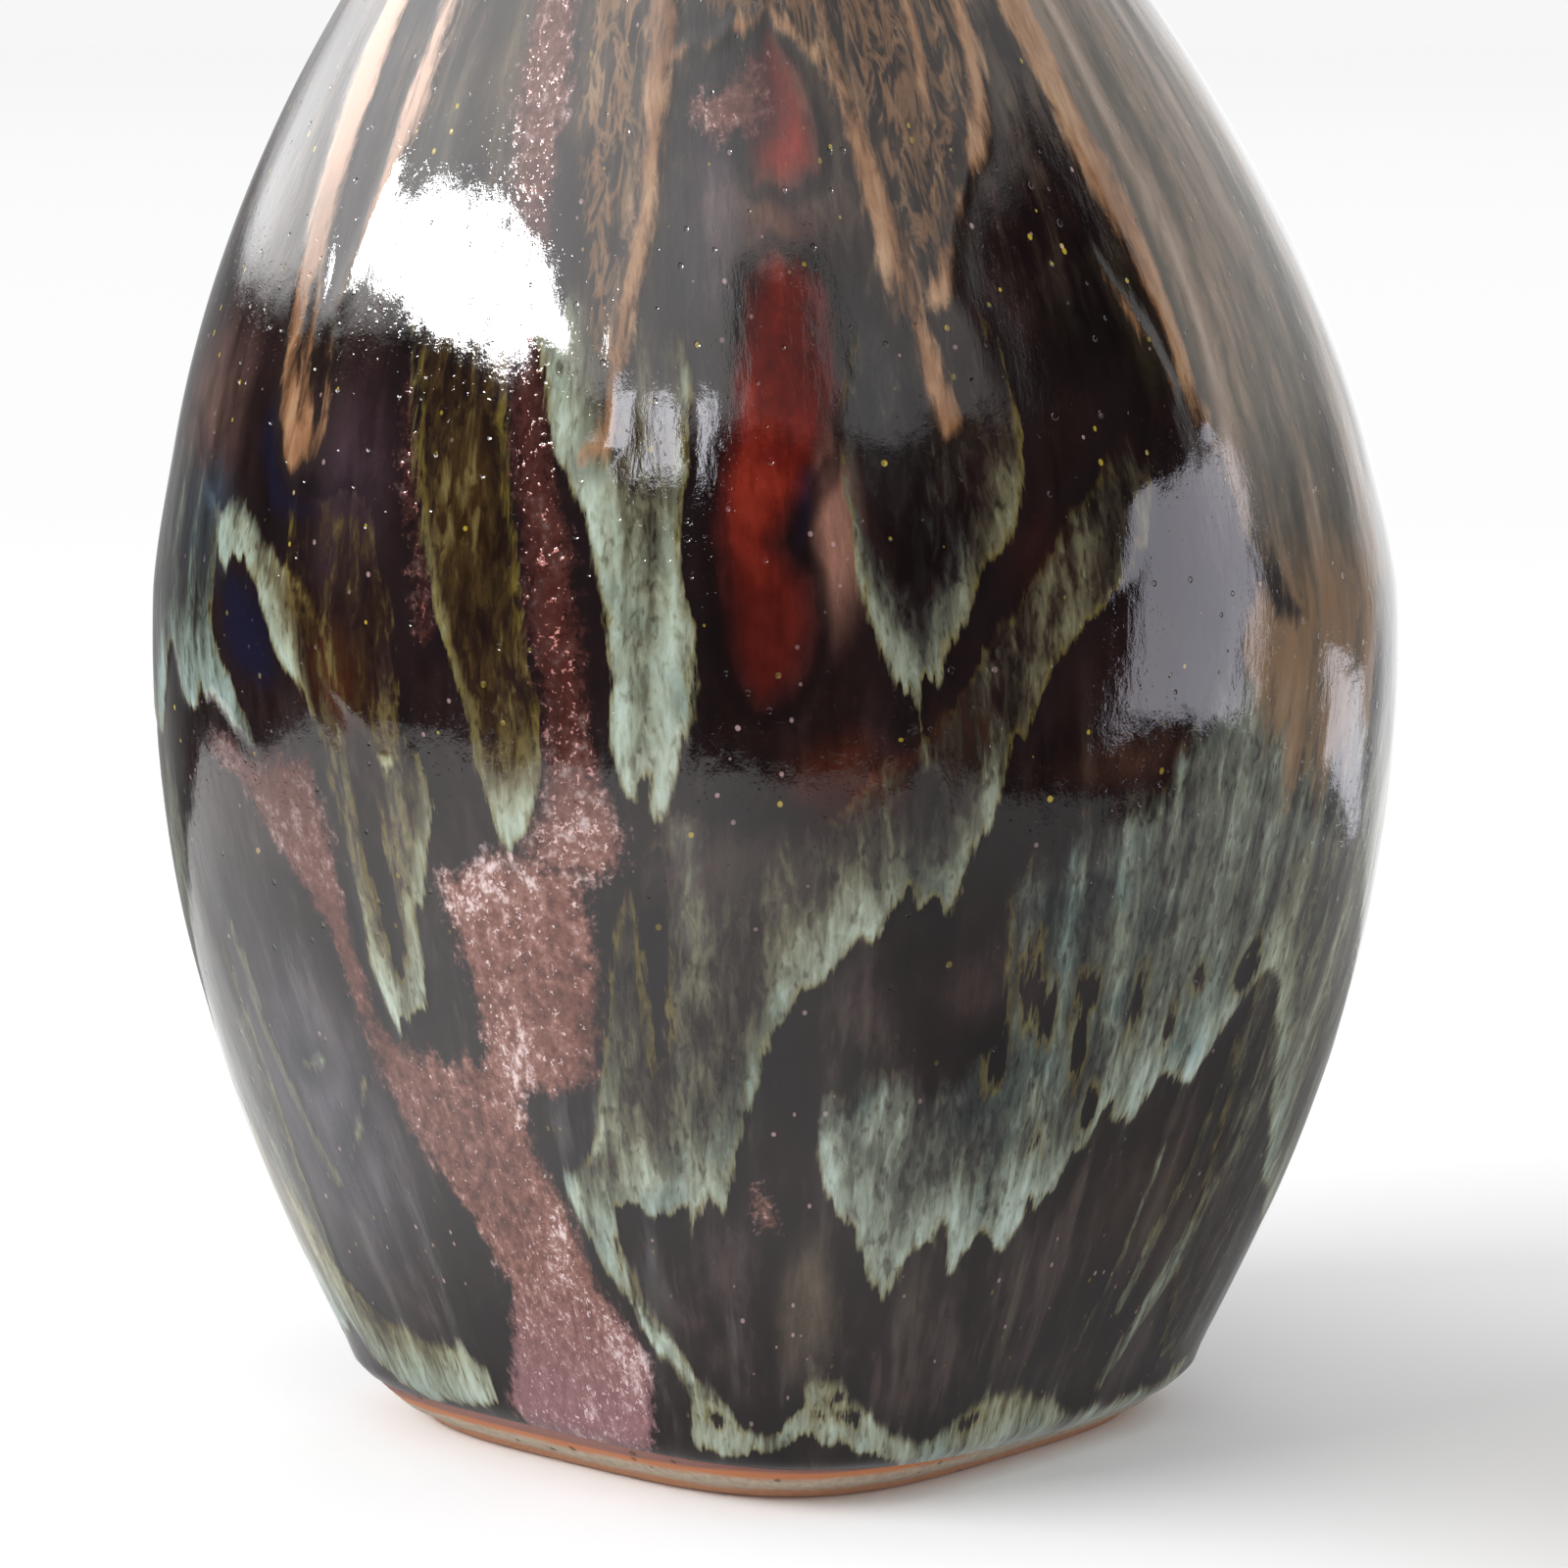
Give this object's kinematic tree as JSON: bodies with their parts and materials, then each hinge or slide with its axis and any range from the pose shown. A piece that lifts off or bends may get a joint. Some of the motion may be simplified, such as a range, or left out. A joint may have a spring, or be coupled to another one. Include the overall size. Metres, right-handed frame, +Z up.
{
  "type": "ceramic bud vase",
  "caption": "Small egg-shaped stoneware bud vase with a slender neck and a squared foot, in a dark iron glaze with green and ochre runs.",
  "frame": {"origin": "centre of the bounding box at the foot's standing plane", "axes": "+Z up from the foot to the mouth, -Y towards the front, +X to the right as seen from the front"},
  "size_m": [0.0882, 0.0879, 0.142],
  "materials": {
    "stoneware": "matt",
    "iron_glaze": "gloss",
    "ash_glaze": "gloss",
    "ochre_glaze": "gloss",
    "liner_glaze": "gloss"
  },
  "bodies": {
    "root": {"stoneware_body": "stoneware", "iron_glaze": "iron_glaze", "ash_glaze_runs": "ash_glaze", "ochre_trails": "ochre_glaze", "liner_glaze": "liner_glaze"}
  },
  "joints": []
}
